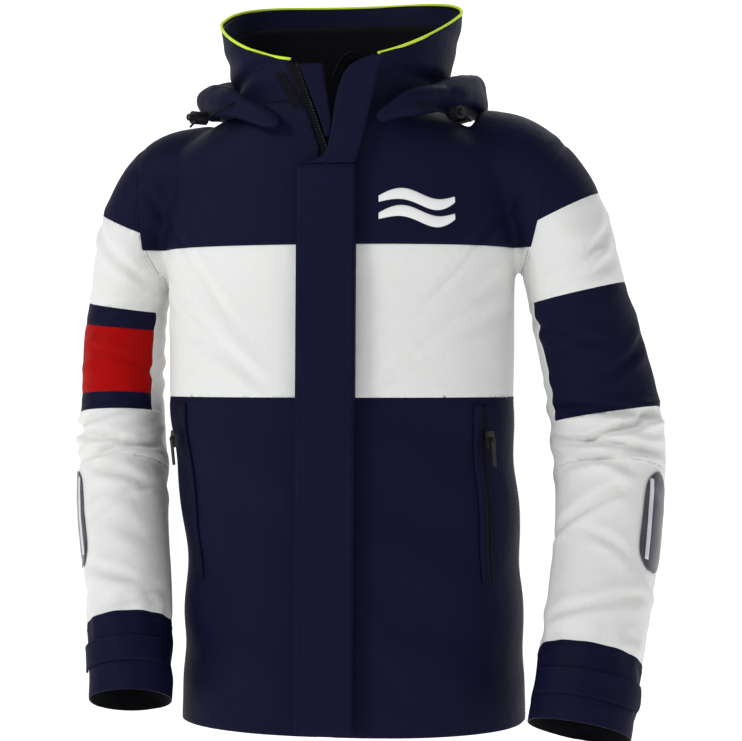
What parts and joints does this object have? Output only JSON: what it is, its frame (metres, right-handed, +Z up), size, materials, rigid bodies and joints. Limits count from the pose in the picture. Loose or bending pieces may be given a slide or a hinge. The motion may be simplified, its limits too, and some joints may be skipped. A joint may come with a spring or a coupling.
{
  "type": "foul weather jacket",
  "caption": "Hooded foul weather jacket with a high collar, storm flap over a front zip, banded sleeves, tabbed cuffs and zipped hand pockets.",
  "frame": {"origin": "top of the hanger loop inside the back of the neck, where a hook bears", "axes": "+X to the wearer's left, -Y to the wearer's front, +Z up"},
  "size_m": [0.6931, 0.3333, 0.8622],
  "materials": {
    "navy_shell": "woven waterproof shell, matt with a faint sheen",
    "white_shell": "woven waterproof shell, matt",
    "red_shell": "woven waterproof shell, matt",
    "embroidery": "raised satin stitch",
    "fleece": "brushed fleece",
    "piping": "bright woven piping",
    "webbing": "woven tape",
    "hook_tape": "hook and loop pile",
    "zip_plastic": "moulded, semi-gloss",
    "reflective": "glass-bead reflective film, satin"
  },
  "bodies": {
    "root": {"lower_front_right": "navy_shell", "lower_front_left": "navy_shell", "front_yoke_right": "navy_shell", "front_yoke_left": "navy_shell", "back_lower": "navy_shell", "back_yoke": "navy_shell", "collar_shell": "navy_shell", "collar_facing": "navy_shell", "chin_guard": "navy_shell", "flap_stand": "navy_shell", "flap_head": "navy_shell", "pocket_welt_right": "navy_shell", "pocket_welt_left": "navy_shell", "hood_roll": "navy_shell", "chest_panel_right": "white_shell", "chest_panel_left": "white_shell", "back_band": "white_shell", "chest_emblem": "embroidery", "collar_lining": "fleece", "collar_piping": "piping", "hanger_loop": "webbing", "zip_tape_right": "webbing", "zip_tape_left": "webbing", "pocket_zip_right": "webbing", "pocket_zip_left": "webbing", "hood_cord_right": "webbing", "hood_cord_left": "webbing", "collar_hook_patch": "hook_tape", "cord_lock_right": "zip_plastic", "cord_lock_left": "zip_plastic"},
    "sleeve_right": {"sleeve_cap_right": "navy_shell", "upper_sleeve_right": "white_shell", "sleeve_band_upper_right": "navy_shell", "sleeve_band_red_right": "red_shell", "sleeve_band_lower_right": "navy_shell", "under_sleeve_right": "white_shell", "elbow_right": "white_shell"},
    "sleeve_left": {"sleeve_cap_left": "navy_shell", "upper_sleeve_left": "white_shell", "sleeve_band_left": "navy_shell", "under_sleeve_left": "white_shell", "elbow_left": "white_shell"},
    "forearm_right": {"forearm_right": "white_shell", "reflective_patch_right": "reflective", "cuff_right": "navy_shell"},
    "forearm_left": {"forearm_left": "white_shell", "reflective_patch_left": "reflective", "cuff_left": "navy_shell"},
    "cuff_tab_right": {"cuff_tab_right": "navy_shell"},
    "cuff_tab_left": {"cuff_tab_left": "navy_shell"},
    "storm_flap": {"storm_flap": "navy_shell"},
    "hood_bag": {"hood_bag": "navy_shell"},
    "main_slider": {"main_zip_slider": "zip_plastic"},
    "main_pull": {"main_zip_pull": "zip_plastic"},
    "pocket_slider_right": {"pocket_right_slider": "zip_plastic"},
    "pocket_pull_right": {"pocket_right_pull": "zip_plastic"},
    "pocket_slider_left": {"pocket_left_slider": "zip_plastic"},
    "pocket_pull_left": {"pocket_left_pull": "zip_plastic"},
    "lock_plunger_right": {"cord_lock_plunger_right": "zip_plastic"},
    "lock_plunger_left": {"cord_lock_plunger_left": "zip_plastic"}
  },
  "joints": [
    {"name": "shoulder_raise_right", "type": "hinge", "parent": "root", "child": "sleeve_right", "pos_m": [-0.205, -0.08155, -0.151], "axis": [0, 1, 0], "range_deg": [0, 70], "deforming": ["sleeve_cap_right"]},
    {"name": "shoulder_raise_left", "type": "hinge", "parent": "root", "child": "sleeve_left", "pos_m": [0.205, -0.08155, -0.141], "axis": [0, -1, 0], "range_deg": [0, 70], "deforming": ["sleeve_cap_left"]},
    {"name": "elbow_bend_right", "type": "hinge", "parent": "sleeve_right", "child": "forearm_right", "pos_m": [-0.254, -0.11655, -0.471], "axis": [-1, 0, 0], "range_deg": [0, 75], "deforming": ["elbow_right"]},
    {"name": "elbow_bend_left", "type": "hinge", "parent": "sleeve_left", "child": "forearm_left", "pos_m": [0.312, -0.11455, -0.471], "axis": [-1, 0, 0], "range_deg": [0, 75], "deforming": ["elbow_left"]},
    {"name": "storm_flap_fold", "type": "hinge", "parent": "root", "child": "storm_flap", "pos_m": [0.0402, -0.24044, -0.7907], "axis": [0, 0.0337, 0.9994], "range_deg": [0, 165]},
    {"name": "hood_lift", "type": "hinge", "parent": "root", "child": "hood_bag", "pos_m": [0, 0.04945, -0.089], "axis": [1, 0, 0], "range_deg": [0, 80]},
    {"name": "main_zip_run", "type": "slide", "parent": "root", "child": "main_slider", "axis": [0, -0.0337, -0.9994], "range_m": [0, 0.59]},
    {"name": "main_pull_swing", "type": "hinge", "parent": "main_slider", "child": "main_pull", "pos_m": [0.007, -0.21057, -0.16935], "axis": [0, 0.9994, -0.0337], "range_deg": [-35, 35]},
    {"name": "pocket_zip_run_right", "type": "slide", "parent": "root", "child": "pocket_slider_right", "axis": [0.1063, -0.0193, -0.9941], "range_m": [0, 0.13]},
    {"name": "pocket_pull_swing_right", "type": "hinge", "parent": "pocket_slider_right", "child": "pocket_pull_right", "pos_m": [-0.17818, -0.16387, -0.46506], "axis": [0.8272, 0.5566, 0.0776], "range_deg": [-40, 40]},
    {"name": "pocket_zip_run_left", "type": "slide", "parent": "root", "child": "pocket_slider_left", "axis": [0.0628, -0.0194, -0.9978], "range_m": [0, 0.13]},
    {"name": "pocket_pull_swing_left", "type": "hinge", "parent": "pocket_slider_left", "child": "pocket_pull_left", "pos_m": [0.1823, -0.16387, -0.46502], "axis": [-0.8306, 0.5533, -0.063], "range_deg": [-40, 40]},
    {"name": "cuff_tab_open_right", "type": "hinge", "parent": "forearm_right", "child": "cuff_tab_right", "pos_m": [-0.18642, -0.19833, -0.70338], "axis": [-0.0988, 0.3835, 0.9183], "range_deg": [0, 85]},
    {"name": "cuff_tab_open_left", "type": "hinge", "parent": "forearm_left", "child": "cuff_tab_left", "pos_m": [0.23986, -0.20568, -0.72529], "axis": [-0.1354, -0.3663, -0.9206], "range_deg": [0, 85]},
    {"name": "lock_press_right", "type": "slide", "parent": "root", "child": "lock_plunger_right", "axis": [0.6816, 0.7317, 0], "range_m": [0, 0.003], "stiffness_N_per_m": 300, "springref_m": -0.002},
    {"name": "lock_press_left", "type": "slide", "parent": "root", "child": "lock_plunger_left", "axis": [-0.6816, 0.7317, 0], "range_m": [0, 0.003], "stiffness_N_per_m": 300, "springref_m": -0.002}
  ]
}
